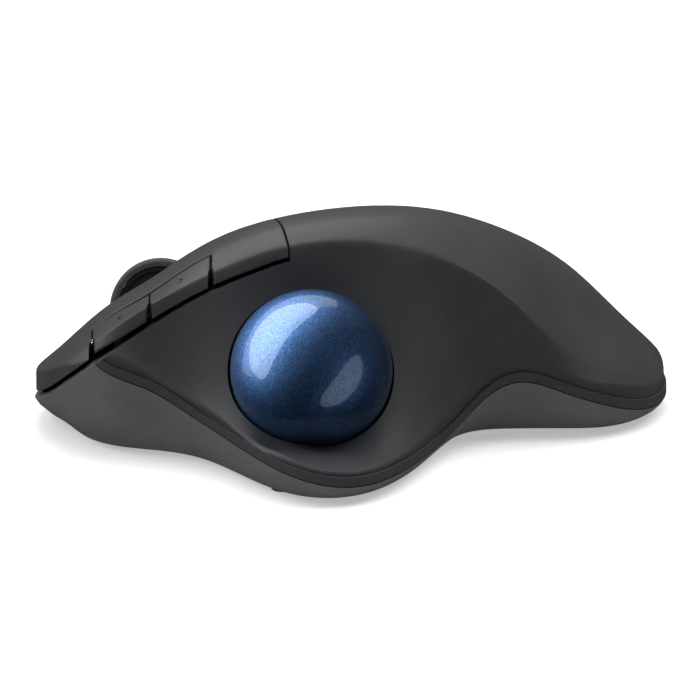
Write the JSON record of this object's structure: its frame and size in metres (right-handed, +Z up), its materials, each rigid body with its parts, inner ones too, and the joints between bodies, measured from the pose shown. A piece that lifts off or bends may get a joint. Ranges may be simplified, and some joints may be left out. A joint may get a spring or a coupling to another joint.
{
  "type": "trackball mouse",
  "caption": "Right-handed wireless thumb trackball: palm-shaped case, two main keys, two side keys, ribbed scroll wheel and a ball in a socket on the thumb side.",
  "frame": {"origin": "on the surface the feet stand on, under the middle of the bounding box", "axes": "+Z up, -Y towards the finger end with the keys, +Y towards the palm end, +X towards the thumb side with the ball"},
  "size_m": [0.1001, 0.1338, 0.048],
  "materials": {
    "graphite_shell": "fine matte texture",
    "graphite_lower": "fine matte texture",
    "key_plastic": "fine matte texture",
    "black_plastic": "plain",
    "ball_blue": "polished, with fine metallic speckle",
    "wheel_rubber": "ribbed",
    "foot_rubber": "plain",
    "white_plastic": "plain",
    "light_window": "frosted",
    "board_green": "solder mask",
    "chip_black": "epoxy",
    "steel": "plain",
    "nickel": "nickel plate",
    "lens_clear": "clear",
    "bearing_white": "polished ceramic",
    "battery_wrap": "plain printed sleeve"
  },
  "bodies": {
    "case": {"back_switch": "black_plastic", "ball_cup": "black_plastic", "battery_cap": "nickel", "battery_cell": "battery_wrap", "board_chips": "chip_black", "board_screws": "steel", "bottom_case": "graphite_lower", "connect_switch": "black_plastic", "cup_screws": "steel", "forward_switch": "black_plastic", "housing_screws": "steel", "key_deck": "black_plastic", "left_switch": "black_plastic", "main_board": "board_green", "middle_switch": "black_plastic", "minus_contact": "nickel", "plus_contact": "nickel", "power_switch": "black_plastic", "receiver_body": "black_plastic", "receiver_shell": "nickel", "right_switch": "black_plastic", "rubber_feet": "foot_rubber", "sensor_board": "board_green", "sensor_chip": "chip_black", "sensor_lens": "lens_clear", "side_boards": "board_green", "socket_bearings": "bearing_white", "status_light": "light_window", "top_case": "graphite_shell"},
    "left_key": {"left_key": "key_plastic"},
    "right_key": {"right_key": "key_plastic"},
    "forward_key": {"forward_key": "key_plastic"},
    "back_key": {"back_key": "key_plastic"},
    "trackball": {"trackball": "ball_blue"},
    "wheel_carrier": {"wheel_carrier": "white_plastic", "wheel_encoder": "black_plastic"},
    "wheel": {"wheel_tyre": "wheel_rubber", "wheel_core": "black_plastic", "wheel_axle": "steel"},
    "battery_door": {"battery_door": "graphite_lower"},
    "power_slider": {"power_slider": "white_plastic"},
    "connect_button": {"connect_button": "black_plastic"},
    "left_plunger": {"left_plunger": "white_plastic"},
    "right_plunger": {"right_plunger": "white_plastic"},
    "middle_plunger": {"middle_plunger": "white_plastic"},
    "forward_plunger": {"forward_plunger": "white_plastic"},
    "back_plunger": {"back_plunger": "white_plastic"}
  },
  "joints": [
    {"name": "left_key_press", "type": "hinge", "parent": "case", "child": "left_key", "pos_m": [0, -0.0145, 0.0255], "axis": [1, 0, 0], "range_deg": [0, 0.4], "stiffness_Nm_per_rad": 1.5},
    {"name": "right_key_press", "type": "hinge", "parent": "case", "child": "right_key", "pos_m": [0, -0.016, 0.03], "axis": [1, 0, 0], "range_deg": [0, 0.4], "stiffness_Nm_per_rad": 1.5},
    {"name": "forward_key_press", "type": "slide", "parent": "case", "child": "forward_key", "axis": [0, 0, -1], "range_m": [0, 0.0006], "stiffness_N_per_m": 900},
    {"name": "back_key_press", "type": "slide", "parent": "case", "child": "back_key", "axis": [0, 0, -1], "range_m": [0, 0.0006], "stiffness_N_per_m": 900},
    {"name": "ball_roll", "type": "hinge", "parent": "case", "child": "trackball", "pos_m": [0.0254, -0.0083, 0.0214], "axis": [0, 1, 0], "continuous": true},
    {"name": "wheel_press", "type": "slide", "parent": "case", "child": "wheel_carrier", "axis": [0, 0, -1], "range_m": [0, 0.0006], "stiffness_N_per_m": 1500},
    {"name": "wheel_spin", "type": "hinge", "parent": "wheel_carrier", "child": "wheel", "pos_m": [-0.01, -0.0403, 0.0224], "axis": [0.9511, 0, 0.309], "continuous": true},
    {"name": "battery_door_off", "type": "slide", "parent": "case", "child": "battery_door", "axis": [0, 0, -1], "range_m": [0, 0.03]},
    {"name": "power_slide", "type": "slide", "parent": "case", "child": "power_slider", "axis": [0, 1, 0], "range_m": [0, 0.0038]},
    {"name": "connect_press", "type": "slide", "parent": "case", "child": "connect_button", "axis": [0, 0, 1], "range_m": [0, 0.0005], "stiffness_N_per_m": 800},
    {"name": "left_plunger_slide", "type": "slide", "parent": "case", "child": "left_plunger", "axis": [0, 0, -1], "range_m": [0, 0.00025]},
    {"name": "right_plunger_slide", "type": "slide", "parent": "case", "child": "right_plunger", "axis": [0, 0, -1], "range_m": [0, 0.0002]},
    {"name": "middle_plunger_slide", "type": "slide", "parent": "case", "child": "middle_plunger", "axis": [0, 0, -1], "range_m": [0, 0.0006]},
    {"name": "forward_plunger_slide", "type": "slide", "parent": "case", "child": "forward_plunger", "axis": [0, 0, -1], "range_m": [0, 0.0006]},
    {"name": "back_plunger_slide", "type": "slide", "parent": "case", "child": "back_plunger", "axis": [0, 0, -1], "range_m": [0, 0.0006]}
  ],
  "couplings": [
    {"joint": "left_plunger_slide", "follows": "left_key_press", "m_per_rad": 0.0295},
    {"joint": "right_plunger_slide", "follows": "right_key_press", "m_per_rad": 0.022},
    {"joint": "middle_plunger_slide", "follows": "wheel_press", "ratio": 1},
    {"joint": "forward_plunger_slide", "follows": "forward_key_press", "ratio": 1},
    {"joint": "back_plunger_slide", "follows": "back_key_press", "ratio": 1}
  ]
}
